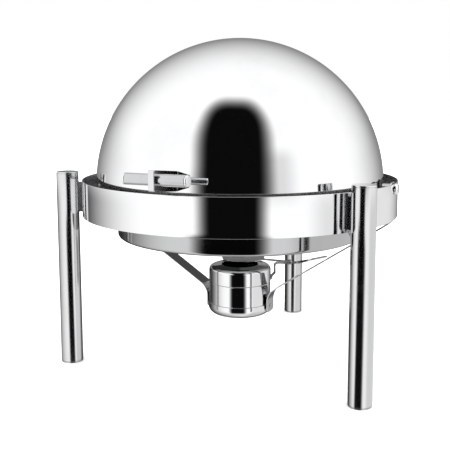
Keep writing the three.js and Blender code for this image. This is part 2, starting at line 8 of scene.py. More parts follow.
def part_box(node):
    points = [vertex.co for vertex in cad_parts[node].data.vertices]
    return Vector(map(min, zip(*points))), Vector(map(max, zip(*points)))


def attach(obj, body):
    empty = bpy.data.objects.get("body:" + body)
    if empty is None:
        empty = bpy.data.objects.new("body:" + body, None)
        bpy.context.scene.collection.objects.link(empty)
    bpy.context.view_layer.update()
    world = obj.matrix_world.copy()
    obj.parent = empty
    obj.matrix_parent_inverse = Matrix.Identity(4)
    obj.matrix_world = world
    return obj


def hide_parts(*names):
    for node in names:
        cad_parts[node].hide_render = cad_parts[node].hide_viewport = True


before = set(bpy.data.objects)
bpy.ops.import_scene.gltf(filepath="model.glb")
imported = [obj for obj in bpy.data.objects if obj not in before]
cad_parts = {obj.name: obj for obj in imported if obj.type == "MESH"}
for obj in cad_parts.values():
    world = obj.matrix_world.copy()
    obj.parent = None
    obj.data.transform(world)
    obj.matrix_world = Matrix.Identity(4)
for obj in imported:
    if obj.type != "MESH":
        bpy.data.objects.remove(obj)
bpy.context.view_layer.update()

# Metres, +Z up, and the lid's handle faces -Y. Angles round the stand are degrees from the front
# (-Y) towards the right (+X). In a local "outwards" frame +X points away from the stand's axis.

print("finishes")


# One socket, with the operators that the finishes use.
class Value:
    def __init__(self, finish, socket):
        self.finish = finish
        self.socket = socket

    def maths(self, operation, *values):
        return self.finish.node("ShaderNodeMath", {"operation": operation}, dict(enumerate(values)))

    def __add__(self, other):
        return self.maths("ADD", self, other)

    def __sub__(self, other):
        return self.maths("SUBTRACT", self, other)

    def __rsub__(self, other):
        return self.maths("SUBTRACT", other, self)

    def __mul__(self, other):
        return self.maths("MULTIPLY", self, other)

    def __truediv__(self, other):
        return self.maths("DIVIDE", self, other)

    def __pow__(self, other):
        return self.maths("POWER", self, other)

    def __abs__(self):
        return self.maths("ABSOLUTE", self)

    __radd__ = __add__
    __rmul__ = __mul__


# A material's or the world's nodes, made one at a time.
class Finish:
    def __init__(self, owner):
        owner.use_nodes = True
        self.tree = owner.node_tree
        self.tree.nodes.clear()

    def node(self, kind, settings, sockets, output=0):
        made = self.tree.nodes.new(kind)
        for key, value in settings.items():
            setattr(made, key, value)
        for key, value in sockets.items():
            if isinstance(value, Value):
                self.tree.links.new(value.socket, made.inputs[key])
            else:
                made.inputs[key].default_value = value
        return Value(self, made.outputs[output]) if made.outputs else made

    def smooth(self, value, low, high):
        sockets = {"Value": value, "From Min": low, "From Max": high}
        return self.node("ShaderNodeMapRange", {"interpolation_type": "SMOOTHSTEP"}, sockets)

    def noise(self, place, scale, detail=2.0, roughness=0.5):
        sockets = {"Vector": place, "Scale": scale, "Detail": detail, "Roughness": roughness}
        return self.node("ShaderNodeTexNoise", {}, sockets)

    def stretched(self, place, scale):
        return self.node("ShaderNodeMapping", {}, {"Vector": place, "Scale": scale})

    def vector(self, operation, *values, output=0):
        return self.node("ShaderNodeVectorMath", {"operation": operation}, dict(enumerate(values)),
                         output)

    def dot(self, vector, direction):
        return self.vector("DOT_PRODUCT", vector, direction, output="Value")

    def blend(self, factor, first, second):
        colors = [color if isinstance(color, Value) else (*color, 1) for color in (first, second)]
        return self.node("ShaderNodeMix", {"data_type": "RGBA"},
                         {0: factor, 6: colors[0], 7: colors[1]}, output=2)


# Steel: its colour, its roughness from clean to smudged, and the grain that polishing left.
# A grain's scale is cells to the metre along X, Y and Z, and depths are metres.
steels = {
    "mirrorSteel": {
        "color": (0.86, 0.865, 0.87), "clean": 0.028, "smudged": 0.075, "smudgeScale": 13.0,
        "grain": (900.0, 900.0, 70.0), "grainDepth": 0.0000006, "grainRough": 0.02,
        "wave": 6.0, "waveDepth": 0.00035},
    "tubeSteel": {
        "color": (0.70, 0.703, 0.707), "clean": 0.14, "smudged": 0.21, "smudgeScale": 20.0,
        "grain": (700.0, 700.0, 45.0), "grainDepth": 0.0000010, "grainRough": 0.05,
        "wave": 13.0, "waveDepth": 0.00003},
    "rolledSteel": {
        "color": (0.82, 0.825, 0.83), "clean": 0.045, "smudged": 0.11, "smudgeScale": 20.0,
        "grain": (70.0, 70.0, 900.0), "grainDepth": 0.0000008, "grainRough": 0.03,
        "wave": 13.0, "waveDepth": 0.0005},
    "panSteel": {
        "color": (0.51, 0.513, 0.517), "clean": 0.055, "smudged": 0.13, "smudgeScale": 16.0,
        "grain": (60.0, 60.0, 700.0), "grainDepth": 0.0000012, "grainRough": 0.05,
        "wave": 7.0, "waveDepth": 0.0004},
    "satinSteel": {
        "color": (0.57, 0.575, 0.58), "clean": 0.20, "smudged": 0.29, "smudgeScale": 40.0,
        "grain": (60.0, 900.0, 900.0), "grainDepth": 0.0000015, "grainRough": 0.08,
        "wave": 60.0, "waveDepth": 0.00004},
    "plateSteel": {
        "color": (0.70, 0.705, 0.71), "clean": 0.13, "smudged": 0.22, "smudgeScale": 45.0,
        "grain": (60.0, 60.0, 900.0), "grainDepth": 0.0000012, "grainRough": 0.06,
        "wave": 20.0, "waveDepth": 0.0001},
    "brushedSheet": {
        "color": (0.62, 0.625, 0.63), "clean": 0.20, "smudged": 0.30, "smudgeScale": 24.0,
        "grain": (60.0, 60.0, 900.0), "grainDepth": 0.0000016, "grainRough": 0.08,
        "wave": 20.0, "waveDepth": 0.0001},
    "fastenerSteel": {
        "color": (0.66, 0.665, 0.67), "clean": 0.15, "smudged": 0.28, "smudgeScale": 70.0,
        "grain": (900.0, 900.0, 900.0), "grainDepth": 0.0000010, "grainRough": 0.06,
        "wave": 120.0, "waveDepth": 0.00003},
}

# Steel with painted shade: darker and rougher within a radius of a centre, on the band's inner side,
# inside the lid and inside the burner cup. The along vector leaves out the axis that the radius
# doesn't run along.
# Painted shade: the band's inner side is painted a darker grey than its polished outside, and so is the
# inside of the lid and of the burner cup below.
steels["bandSteel"] = {
    **steels["mirrorSteel"], "insideRadius": 0.2163, "insideCentre": (0, 0, 0),
    "insideAlong": (1, 1, 0), "inside": (0.42, 0.42, 0.42), "insideRough": 0.25}
steels["domeSteel"] = {
    **steels["mirrorSteel"], "insideRadius": 0.1974, "insideCentre": (0, 0, 0.248),
    "insideAlong": (1, 1, 1), "inside": (0.66, 0.66, 0.66), "insideRough": 0.30}
steels["cupSteel"] = {
    **steels["rolledSteel"], "insideRadius": 0.0426, "insideCentre": (0, 0, 0),
    "insideAlong": (1, 1, 0), "inside": (0.035, 0.034, 0.032), "insideRough": 0.4}
dulling = 0.955          # how much of its colour a smudged patch keeps
smudges = {"detail": 4.0, "roughness": 0.62, "from": 0.46, "to": 0.74}
# How soft the edge of the painted shade is, in metres.
paintedShadeEdge = 0.0002


def makeSteel(name, look):
    material = bpy.data.materials.new(name)
    finish = Finish(material)
    place = finish.node("ShaderNodeTexCoord", {}, {}, output="Object")
    film = finish.noise(place, look["smudgeScale"], smudges["detail"], smudges["roughness"])
    film = finish.smooth(film, smudges["from"], smudges["to"])
    grain = finish.noise(finish.stretched(place, look["grain"]), 1.0)
    wave = finish.noise(place, look["wave"], 1.0)
    rough = (look["clean"] + (look["smudged"] - look["clean"]) * film
             + look["grainRough"] * (grain - 0.5))
    height = wave * look["waveDepth"] + grain * look["grainDepth"]
    bump = finish.node("ShaderNodeBump", {}, {"Strength": 1.0, "Distance": 1.0, "Height": height})
    color = finish.blend(film, look["color"], [shade * dulling for shade in look["color"]])
    # Painted shade: within the radius the colour turns to the darker inside colour and the steel gets
    # rougher.
    if "inside" in look:
        away = finish.vector("SUBTRACT", place, look["insideCentre"])
        along = finish.vector("MULTIPLY", away, look["insideAlong"])
        reach = finish.vector("LENGTH", along, output="Value")
        clear = finish.smooth(reach, look["insideRadius"] - paintedShadeEdge, look["insideRadius"])
        color = finish.blend(clear, look["inside"], color)
        rough = rough + look["insideRough"] * (1 - clear)
    shader = finish.node("ShaderNodeBsdfPrincipled", {}, {
        "Base Color": color, "Metallic": 1.0, "Roughness": rough, "Normal": bump})
    finish.node("ShaderNodeOutputMaterial", {}, {"Surface": shader})
    return material


# Plastics and rubber: colour, roughness, and a fine moulded grain.
plastics = {
    "nylon": {"color": (0.022, 0.022, 0.024), "rough": 0.42, "grainScale": 900.0, "depth": 0.000010},
    "rubber": {"color": (0.014, 0.014, 0.014), "rough": 0.68, "grainScale": 600.0, "depth": 0.000020},
}
dustLook = {"scale": 90.0, "from": 0.5, "to": 0.8, "paler": 1.9, "rougher": 0.12}


def makePlastic(name, look):
    material = bpy.data.materials.new(name)
    finish = Finish(material)
    place = finish.node("ShaderNodeTexCoord", {}, {}, output="Object")
    grain = finish.noise(place, look["grainScale"], 3.0, 0.6)
    dust = finish.noise(place, dustLook["scale"], 3.0, 0.6)
    dust = finish.smooth(dust, dustLook["from"], dustLook["to"])
    color = finish.blend(dust, look["color"], [shade * dustLook["paler"] for shade in look["color"]])
    height = grain * look["depth"]
    bump = finish.node("ShaderNodeBump", {}, {"Strength": 1.0, "Distance": 1.0, "Height": height})
    shader = finish.node("ShaderNodeBsdfPrincipled", {}, {
        "Base Color": color, "Roughness": look["rough"] + dustLook["rougher"] * dust, "Normal": bump})
    finish.node("ShaderNodeOutputMaterial", {}, {"Surface": shader})
    return material


materials = {name: makeSteel(name, look) for name, look in steels.items()}
materials.update({name: makePlastic(name, look) for name, look in plastics.items()})

print("shape helpers")

closeTogether = 0.000002  # vertices nearer than this are one
sharpAngle = math.radians(42)


# A line of edges in the local X-Z plane. rounds says which corners bend, and at what radius.
def chain(shape, corners, rounds=None, segments=5, closed=False):
    rounds = rounds or {}
    places = [Vector((x, 0, z)) for x, z in corners]
    points = [bmesh.ops.create_vert(shape, co=place)["vert"][0] for place in places]
    ends = points[1:] + points[:1] if closed else points[1:]
    for pair in zip(points, ends):
        shape.edges.new(pair)
    for corner, radius in rounds.items():
        here = places[corner]
        bend = (here - places[corner - 1]).angle(places[(corner + 1) % len(places)] - here)
        bmesh.ops.bevel(
            shape, geom=[points[corner]], offset=radius * math.tan(bend / 2), offset_type="OFFSET",
            segments=segments, profile=0.5, affect="VERTICES", material=-1)


# A chain spun once round the local Z axis.
def turned(corners, rounds=None, steps=96, segments=5, closed=False):
    shape = bmesh.new()
    chain(shape, corners, rounds, segments, closed)
    return spunRound(shape, steps)


def spunRound(shape, steps):
    bmesh.ops.spin(
        shape, geom=shape.verts[:] + shape.edges[:], cent=(0, 0, 0), axis=(0, 0, 1),
        angle=2 * math.pi, steps=steps, use_merge=True)
    bmesh.ops.remove_doubles(shape, verts=shape.verts, dist=closeTogether)
    bmesh.ops.recalc_face_normals(shape, faces=shape.faces)
    return shape


# A rod or ring with rounded rims, from one height to another on the local Z axis.
def ring(outer, inner, low, high, edge, steps=96):
    corners = [(inner, low), (outer, low), (outer, high), (inner, high)]
    return turned(corners, {i: edge for i in range(4)}, steps, 4, closed=True)


# A bolt or rivet: shank from tip to seat, and a head on the far side of the seat.
def headed(shank, tip, seat, head, height, edge, steps=40):
    top = seat + math.copysign(height, seat - tip)
    corners = [(0, tip), (shank, tip), (shank, seat), (head, seat), (head, top), (0, top)]
    return turned(corners, {4: edge}, steps, 8)


# A strip of sheet metal's middle surface along a bent path, centred on y = 0.
def strip(corners, rounds, width, endRadius=0.0, segments=7):
    shape = bmesh.new()
    chain(shape, corners, rounds, segments)
    bmesh.ops.translate(shape, verts=shape.verts, vec=(0, -width / 2, 0))
    made = bmesh.ops.extrude_edge_only(shape, edges=shape.edges[:])["geom"]
    across = [part for part in made if isinstance(part, bmesh.types.BMVert)]
    bmesh.ops.translate(shape, verts=across, vec=(0, width, 0))
    if endRadius:
        tips = [v for v in shape.verts if len(v.link_edges) == 2]
        bmesh.ops.bevel(
            shape, geom=tips, offset=endRadius, offset_type="OFFSET", segments=5, profile=0.5,
            affect="VERTICES", material=-1)
    bmesh.ops.recalc_face_normals(shape, faces=shape.faces)
    return shape


def outwards(angle, height=0.0):
    return Matrix.Rotation(math.radians(angle - 90), 4, "Z") @ Matrix.Translation((0, 0, height))


alongX = Matrix.Rotation(math.pi / 2, 4, "Y")  # the local Z axis becomes X


# The lowest and highest corner of a CAD node in the frame outwards at an angle.
def extent(node, angle=90.0):
    back = outwards(angle).inverted()
    places = [back @ vertex.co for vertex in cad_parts[node].data.vertices]
    low = Vector(min(place[axis] for place in places) for axis in range(3))
    high = Vector(max(place[axis] for place in places) for axis in range(3))
    return low, high


# The finished piece. A strip gets its sheet thickness here, evenly on both sides.
def finishPiece(shape, name, body, finish, nodes, matrix=None, sheet=0.0, edge=0.0):
    if matrix is not None:
        bmesh.ops.transform(shape, matrix=matrix, verts=shape.verts)
    mesh = bpy.data.meshes.new(name)
    shape.to_mesh(mesh)
    shape.free()
    mesh.shade_smooth()
    mesh.set_sharp_from_angle(angle=sharpAngle)
    mesh.materials.append(materials[finish])
    piece = bpy.data.objects.new(name, mesh)
    bpy.context.scene.collection.objects.link(piece)
    if sheet:
        thickness = piece.modifiers.new("thickness", "SOLIDIFY")
        thickness.thickness, thickness.offset, thickness.use_even_offset = sheet, 0, True
        thickness.use_quality_normals = True
    if edge:
        softened = piece.modifiers.new("softened", "BEVEL")
        softened.width, softened.segments, softened.limit_method = edge, 3, "ANGLE"
        softened.angle_limit = math.radians(50)
    weighted = piece.modifiers.new("weighted", "WEIGHTED_NORMAL")
    weighted.weight, weighted.keep_sharp = 80, not edge
    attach(piece, body)
    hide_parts(*nodes)
    return piece


sides = {"left": -1, "right": 1}

print("stand: band and legs")

band = {"edge": 0.0005, "wall": 0.0015, "steps": 288}
bandLow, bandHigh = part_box("support_band")
bandRadius = bandHigh.x
finishPiece(
    ring(bandRadius, bandRadius - band["wall"], bandLow.z, bandHigh.z, band["edge"], band["steps"]),
    "supportBand", "stand", "bandSteel", ["support_band"])

legs = {"angles": {"left": -60, "right": 60, "rear": 180}, "radius": 0.0148, "wall": 0.0015,
        "tubeEdge": 0.0002, "capEdge": 0.0012, "footEdge": 0.0008, "capInset": 0.0002, "plug": 0.004,
        "clearance": 0.0003, "steps": 72}
legBolt = {"head": 0.0055, "edge": 0.0016, "socket": 0.0019, "socketDepth": 0.0018,
           "chamfer": 0.0003, "chamferWider": 1.12, "faceBand": 0.000001, "steps": 42}


# A domed cap head with a hexagon socket sunk in it, its face at the local origin, facing +Z.
def socketHead(look, height):
    shape = bmesh.new()
    rim = look["head"]
    corners = [(rim, -height), (rim, 0), (look["socket"] * look["chamferWider"], 0)]
    chain(shape, corners, {1: look["edge"]}, 6)
    spunRound(shape, look["steps"])
    inside = [e for e in shape.edges
              if e.is_boundary and max(abs(v.co.z) for v in e.verts) < look["faceBand"]]
    hexagon = bmesh.ops.create_circle(shape, segments=6, radius=look["socket"], cap_ends=False)["verts"]
    bmesh.ops.translate(shape, verts=hexagon, vec=(0, 0, -look["chamfer"]))
    rimEdges = list({e for v in hexagon for e in v.link_edges})
    bmesh.ops.bridge_loops(shape, edges=inside + rimEdges)
    deeper = bmesh.ops.extrude_edge_only(shape, edges=rimEdges)["geom"]
    bottom = [part for part in deeper if isinstance(part, bmesh.types.BMVert)]
    bmesh.ops.translate(shape, verts=bottom, vec=(0, 0, -look["socketDepth"]))
    bmesh.ops.contextual_create(
        shape, geom=[part for part in deeper if isinstance(part, bmesh.types.BMEdge)])
    bmesh.ops.recalc_face_normals(shape, faces=shape.faces)
    return shape


# The end of a leg: a plug inside the tube, and a face flush with its outside.
def legEnd(plugEnd, seat, face, edge):
    plug = legs["radius"] - legs["wall"] - legs["clearance"]
    outside = legs["radius"] - legs["capInset"]
    corners = [(0, plugEnd), (plug, plugEnd), (plug, seat), (outside, seat), (outside, face), (0, face)]
    return turned(corners, {4: edge}, legs["steps"], 6)


for side, angle in legs["angles"].items():
    low, high = extent(f"leg_{side}", angle)
    capLow, capHigh = extent(f"leg_cap_{side}", angle)
    footLow, footHigh = extent(f"leg_foot_{side}", angle)
    stand = outwards(angle) @ Matrix.Translation(((low.x + high.x) / 2, 0, 0))
    tube = ring(legs["radius"], legs["radius"] - legs["wall"], low.z, high.z, legs["tubeEdge"],
                legs["steps"])
    finishPiece(tube, f"leg{side.title()}", "stand", "tubeSteel",
                [f"leg_{side}", f"leg_nut_bar_{side}"], stand)
    cap = legEnd(capLow.z + legs["plug"], high.z + legs["clearance"], capHigh.z, legs["capEdge"])
    finishPiece(cap, f"legCap{side.title()}", "stand", "tubeSteel", [f"leg_cap_{side}"], stand)
    foot = legEnd(footHigh.z - legs["plug"], low.z - legs["clearance"], footLow.z, legs["footEdge"])
    finishPiece(foot, f"legFoot{side.title()}", "stand", "satinSteel", [f"leg_foot_{side}"], stand)
    for level in ("lower", "upper"):
        node = f"leg_bolt_{side}_{level}"
        low, high = extent(node, angle)
        seat = bandRadius - band["wall"]
        face = outwards(angle, (low.z + high.z) / 2) @ Matrix.Translation((low.x, 0, 0))
        head = socketHead(legBolt, seat - low.x)
        finishPiece(head, f"legBolt{side.title()}{level.title()}", "stand", "fastenerSteel", [node],
                    face @ Matrix.Rotation(-math.pi / 2, 4, "Y"))

print("pans")

waterPan = {"wall": 0.0012, "radius": 0.170, "corner": 0.005, "lip": 0.0005, "rimRound": 0.0018,
            "steps": 240}
foodPan = {"wall": 0.0010, "radius": 0.160, "corner": 0.014, "lip": 0.0004, "rimRound": 0.0015,
           "steps": 240}


def makePan(look, name, body, node):
    low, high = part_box(node)
    wall, radius, flange = look["wall"], look["radius"], high.y
    corners = [
        (0, low.z), (radius, low.z), (radius, high.z - wall), (flange, high.z - wall),
        (flange, high.z), (radius - wall, high.z), (radius - wall, low.z + wall), (0, low.z + wall)]
    rounds = {1: look["corner"], 2: wall, 3: look["lip"], 4: look["lip"], 5: look["rimRound"],
              6: look["corner"] - wall}
    shape = turned(corners, rounds, look["steps"], 9)
    return finishPiece(shape, name, body, "panSteel", [node])


makePan(waterPan, "waterPan", "water_pan", "water_pan")
makePan(foodPan, "foodPan", "food_pan", "food_pan")

print("brackets and pivots")

sheets = {"hanger": 0.0015, "bend": 0.0024, "edge": 0.00035, "tabRadius": 0.005}
pivot = {"head": 0.0078, "headEdge": 0.0034, "shank": 0.004, "spacer": 0.007, "bore": 0.0043,
         "washer": 0.008, "washerEdge": 0.0003, "bushFlange": 0.012, "bushSleeve": 0.0055,
         "flangeThickness": 0.002, "flangeEdge": 0.0006, "edge": 0.0004, "bandGap": 0.0003,
         "nut": 0.0075, "nutEdge": 0.0005}
frontBracketAngle = 35


# An L of sheet: an upright, and a shelf that reaches in under the water pan.
def shelfBracket(node, name, angle):
    low, high = extent(node, angle)
    half = sheets["hanger"] / 2
    shelf = (high.z if name.startswith("panBracket") else low.z + sheets["hanger"]) - half
    end = low.z if name.startswith("panBracket") else high.z
    corners = [(high.x - half, end), (high.x - half, shelf), (low.x, shelf)]
    shape = strip(corners, {1: sheets["bend"]}, high.y - low.y, sheets["tabRadius"])
    finishPiece(shape, name, "stand", "brushedSheet", [node], outwards(angle),
                sheet=sheets["hanger"], edge=sheets["edge"])


for side, sign in sides.items():
    angle = 90 * sign
    title = side.title()
    shelfBracket(f"pan_bracket_{side}", f"panBracket{title}", frontBracketAngle * sign)
    shelfBracket(f"pan_hanger_{side}", f"panHanger{title}", angle)
    low, high = extent(f"pivot_bolt_{side}", angle)
    height = (low.z + high.z) / 2
    axis = outwards(angle, height) @ alongX
    seat = bandRadius + pivot["bandGap"]
    finishPiece(
        headed(pivot["shank"], low.x, seat, pivot["head"], high.x - seat, pivot["headEdge"], 64),
        f"pivotBolt{title}", "stand", "mirrorSteel", [f"pivot_bolt_{side}"], axis)
    low, high = extent(f"pivot_spacer_{side}", angle)
    finishPiece(ring(pivot["spacer"], pivot["bore"], low.x, high.x, pivot["edge"], 48),
                f"pivotSpacer{title}", "stand", "satinSteel", [f"pivot_spacer_{side}"], axis)
    low, high = extent(f"pivot_washer_{side}", angle)
    finishPiece(ring(pivot["washer"], pivot["bore"], low.x, high.x, pivot["washerEdge"], 48),
                f"pivotWasher{title}", "stand", "nylon", [f"pivot_washer_{side}"], axis)
    low, high = extent(f"lid_bush_{side}", angle)
    flange = high.x - pivot["flangeThickness"]
    bush = turned(
        [(pivot["bore"], low.x), (pivot["bushSleeve"], low.x), (pivot["bushSleeve"], flange),
         (pivot["bushFlange"], flange), (pivot["bushFlange"], high.x), (pivot["bore"], high.x)],
        {3: pivot["edge"], 4: pivot["flangeEdge"]}, 56, 4, closed=True)
    finishPiece(bush, f"lidBush{title}", "lid", "nylon", [f"lid_bush_{side}"], axis)
    nutLow, nutHigh = extent(f"pivot_nut_{side}", angle)
    nut = bmesh.new()
    bmesh.ops.create_circle(nut, cap_ends=True, segments=6, radius=pivot["nut"])
    bmesh.ops.translate(nut, verts=nut.verts, vec=(0, 0, nutLow.x))
    made = bmesh.ops.extrude_face_region(nut, geom=nut.faces[:])["geom"]
    top = [part for part in made if isinstance(part, bmesh.types.BMVert)]
    bmesh.ops.translate(nut, verts=top, vec=(0, 0, nutHigh.x - nutLow.x))
    bmesh.ops.recalc_face_normals(nut, faces=nut.faces)
    finishPiece(nut, f"pivotNut{title}", "stand", "fastenerSteel", [f"pivot_nut_{side}"], axis,
                edge=pivot["nutEdge"])

print("lid")

lid = {"wall": 0.0012, "skirt": 0.005, "rimBand": 0.0002, "earRadius": 0.012, "rows": 72,
       "steps": 360}
pivotHeight = sum(corner.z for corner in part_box("pivot_bolt_right")) / 2
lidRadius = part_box("lid_dome")[1].y


# A shell cut level below the pivots, with a round ear left standing down at each of them.
def makeDome():
    shape = bmesh.new()
    rim = math.asin(lid["skirt"] / lidRadius)
    rimEnds = []
    for radius in (lidRadius, lidRadius - lid["wall"]):
        top = bmesh.ops.create_vert(shape, co=(0, 0, radius))["vert"]
        last = bmesh.ops.spin(
            shape, geom=top, cent=(0, 0, 0), axis=(0, 1, 0), angle=math.pi / 2 + rim,
            steps=lid["rows"])["geom_last"]
        rimEnds += [part for part in last if isinstance(part, bmesh.types.BMVert)]
    shape.edges.new(rimEnds)
    spunRound(shape, lid["steps"])
    for vertex in [v for v in shape.verts if abs(v.co.z + lid["skirt"]) < lid["rimBand"]]:
        place = vertex.co
        drop = lid["earRadius"] ** 2 - place.y ** 2
        if drop > lid["skirt"] ** 2:
            radius = place.length
            place.z = -math.sqrt(drop)
            place.x = math.copysign(math.sqrt(radius ** 2 - place.y ** 2 - place.z ** 2), place.x)
    return shape


finishPiece(makeDome(), "lidDome", "lid", "domeSteel", ["lid_dome"],
            Matrix.Translation((0, 0, pivotHeight)))

# The bracket's rise is in degrees, from the lid to its front.
handle = {"height": 0.024, "rise": 6, "seatGap": 0.0006, "edge": 0.0006, "frontRound": 0.0025}
grip = {"radius": 0.00685, "bore": 0.0045, "tubeEdge": 0.0003, "capThickness": 0.003,
        "capEdge": 0.0010, "groove": 0.0003, "plug": 0.004, "clearance": 0.0003}
lidScrew = {"shank": 0.002, "reach": 0.004, "head": 0.0038, "headHeight": 0.0032, "edge": 0.0012,
            "gap": 0.0003, "washer": 0.005, "washerBore": 0.0024, "washerThickness": 0.001,
            "washerEdge": 0.0002}
low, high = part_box("handle_bracket")


# Where an edge of the bracket that comes in from the front at a height meets the lid.
def onLid(height):
    front = Vector((0, low.y, height))
    slope = math.radians(handle["rise"])
    inwards = Vector((0, math.cos(slope), -math.sin(slope)))
    along = front.dot(inwards)
    seatRadius = lidRadius + handle["seatGap"]
    return front - inwards * (along + math.sqrt(along ** 2 - front.length_squared + seatRadius ** 2))


# The upright plate that carries the grip, its back edge rounded to sit on the lid.
def makeBracket():
    shape = bmesh.new()
    top = high.z - pivotHeight
    bottom = top - handle["height"]
    start, end = onLid(bottom), onLid(top)
    first = bmesh.ops.create_vert(shape, co=start)["vert"]
    last = bmesh.ops.spin(shape, geom=first, cent=(0, 0, 0), axis=(1, 0, 0), angle=-start.angle(end),
                          steps=8)["geom_last"]
    backTop = [part for part in last if isinstance(part, bmesh.types.BMVert)][0]
    frontTop = bmesh.ops.create_vert(shape, co=(0, low.y, top))["vert"][0]
    frontLow = bmesh.ops.create_vert(shape, co=(0, low.y, bottom))["vert"][0]
    for pair in ((backTop, frontTop), (frontTop, frontLow), (frontLow, first[0])):
        shape.edges.new(pair)
    bmesh.ops.bevel(
        shape, geom=[frontTop, frontLow], offset=handle["frontRound"], offset_type="OFFSET",
        segments=6, profile=0.5, affect="VERTICES", material=-1)
    bmesh.ops.contextual_create(shape, geom=shape.edges[:])
    bmesh.ops.translate(shape, verts=shape.verts, vec=(low.x, 0, 0))
    made = bmesh.ops.extrude_face_region(shape, geom=shape.faces[:])["geom"]
    across = [part for part in made if isinstance(part, bmesh.types.BMVert)]
    bmesh.ops.translate(shape, verts=across, vec=(high.x - low.x, 0, 0))
    bmesh.ops.recalc_face_normals(shape, faces=shape.faces)
    return shape


finishPiece(makeBracket(), "handleBracket", "lid", "plateSteel", ["handle_bracket"],
            Matrix.Translation((0, 0, pivotHeight)), edge=handle["edge"])

low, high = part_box("handle_grip")
gripAxis = Matrix.Translation((0, (low.y + high.y) / 2, (low.z + high.z) / 2)) @ alongX
finishPiece(ring(grip["radius"], grip["bore"], low.x, high.x, grip["tubeEdge"], 64),
            "handleGrip", "lid", "satinSteel", ["handle_grip"], gripAxis)
for side, sign in sides.items():
    face = sign * (high.x + grip["capThickness"])
    joint = sign * (high.x + grip["groove"])
    plugEnd = sign * (high.x - grip["plug"])
    plug = grip["bore"] - grip["clearance"]
    cap = turned(
        [(0, plugEnd), (plug, plugEnd), (plug, joint), (grip["radius"], joint),
         (grip["radius"], face), (0, face)],
        {3: grip["tubeEdge"], 4: grip["capEdge"]}, 64, 6)
    finishPiece(cap, f"gripCap{side.title()}", "lid", "mirrorSteel", [f"grip_cap_{side}"], gripAxis)

# The screws come through the lid from inside, along its radii.
for level in ("lower", "upper"):
    low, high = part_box(f"handle_washer_{level}")
    middle = (low + high) / 2 - Vector((0, 0, pivotHeight))
    tilt = math.atan2(middle.z, -middle.y)
    axis = (Matrix.Translation((0, 0, pivotHeight)) @ outwards(0)
            @ Matrix.Rotation(-tilt, 4, "Y") @ alongX)
    seat = middle.length - lidScrew["washerThickness"] / 2
    washer = ring(lidScrew["washer"], lidScrew["washerBore"], seat,
                  seat + lidScrew["washerThickness"], lidScrew["washerEdge"], 40)
    finishPiece(washer, f"handleWasher{level.title()}", "lid", "fastenerSteel",
                [f"handle_washer_{level}"], axis)
    screw = headed(lidScrew["shank"], lidRadius + lidScrew["reach"], seat - lidScrew["gap"],
                   lidScrew["head"], lidScrew["headHeight"], lidScrew["edge"])
    finishPiece(screw, f"handleScrew{level.title()}", "lid", "fastenerSteel",
                [f"handle_screw_{level}"], axis)

print("burner arms and cradle")

arms = {"sheet": 0.0015, "footCorner": 0.0947, "slope": 33.2, "lowerBend": 0.020, "upperBend": 0.006,
        "edge": 0.0004, "tipRadius": 0.006}
cradle = {"wall": 0.001, "corner": 0.011, "lip": 0.0003, "rivet": 0.003, "rivetHeight": 0.0012,
          "rivetEdge": 0.0011, "shank": 0.0016}

for side, sign in sides.items():
    angle = 90 * sign
    low, high = extent(f"burner_arm_{side}", angle)
    foot, tab = low.x + arms["sheet"] / 2, high.x - arms["sheet"] / 2
    tabCorner = arms["footCorner"] + math.tan(math.radians(arms["slope"])) * (tab - foot)
    corners = [(foot, low.z), (foot, arms["footCorner"]), (tab, tabCorner), (tab, high.z)]
    shape = strip(corners, {1: arms["lowerBend"], 2: arms["upperBend"]}, high.y - low.y,
                  arms["tipRadius"], 12)
    finishPiece(shape, f"burnerArm{side.title()}", "stand", "rolledSteel", [f"burner_arm_{side}"],
                outwards(angle), sheet=arms["sheet"], edge=arms["edge"])
    low, high = extent(f"cradle_rivet_{side}", angle)
    axis = outwards(angle, (low.z + high.z) / 2) @ alongX
    rivet = headed(cradle["shank"], low.x, high.x - cradle["rivetHeight"], cradle["rivet"],
                   cradle["rivetHeight"], cradle["rivetEdge"], 32)
    finishPiece(rivet, f"cradleRivet{side.title()}", "stand", "fastenerSteel",
                [f"cradle_rivet_{side}"], axis)

low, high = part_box("burner_cradle")
radius, wall = high.x, cradle["wall"]
shape = turned(
    [(0, low.z), (radius, low.z), (radius, high.z), (radius - wall, high.z),
     (radius - wall, low.z + wall), (0, low.z + wall)],
    {1: cradle["corner"], 2: cradle["lip"], 3: cradle["lip"], 4: cradle["corner"] - wall}, 128, 10)
finishPiece(shape, "burnerCradle", "stand", "rolledSteel", ["burner_cradle"])

print("burner")

burner = {"wall": 0.0008, "corner": 0.010, "seam": 0.107, "shoulder": 0.0012, "coverWall": 0.001,
          "coverCorner": 0.0065, "mouth": 0.026, "cone": 0.0013, "lip": 0.0004, "neckLip": 0.0003,
          "neckGap": 0.0015}
low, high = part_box("burner_cup")
coverLow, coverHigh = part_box("burner_cover")
radius, neck, wall = high.x, coverHigh.x - burner["neckGap"], burner["wall"]
seam = burner["seam"]
cup = turned(
    [(0, low.z), (radius, low.z), (radius, seam), (neck, seam), (neck, high.z),
     (neck - wall, high.z), (neck - wall, seam - wall), (radius - wall, seam - wall),
     (radius - wall, low.z + wall), (0, low.z + wall)],
    {1: burner["corner"], 2: burner["shoulder"], 4: burner["neckLip"], 5: burner["neckLip"],
     8: burner["corner"] - wall}, 128, 9)
finishPiece(cup, "burnerCup", "burner_cup", "cupSteel", ["burner_cup"])

radius, wall = coverHigh.x, burner["coverWall"]
shoulderTop = coverHigh.z - burner["cone"]
cover = turned(
    [(radius - wall, coverLow.z), (radius, coverLow.z), (radius, shoulderTop),
     (burner["mouth"], coverHigh.z), (burner["mouth"], coverHigh.z - wall),
     (radius - wall, shoulderTop - wall)],
    {1: burner["lip"], 2: burner["coverCorner"], 3: burner["lip"], 4: burner["lip"],
     5: burner["coverCorner"] - wall}, 128, 9, closed=True)
finishPiece(cover, "burnerCover", "burner_cover", "rolledSteel", ["burner_cover"])

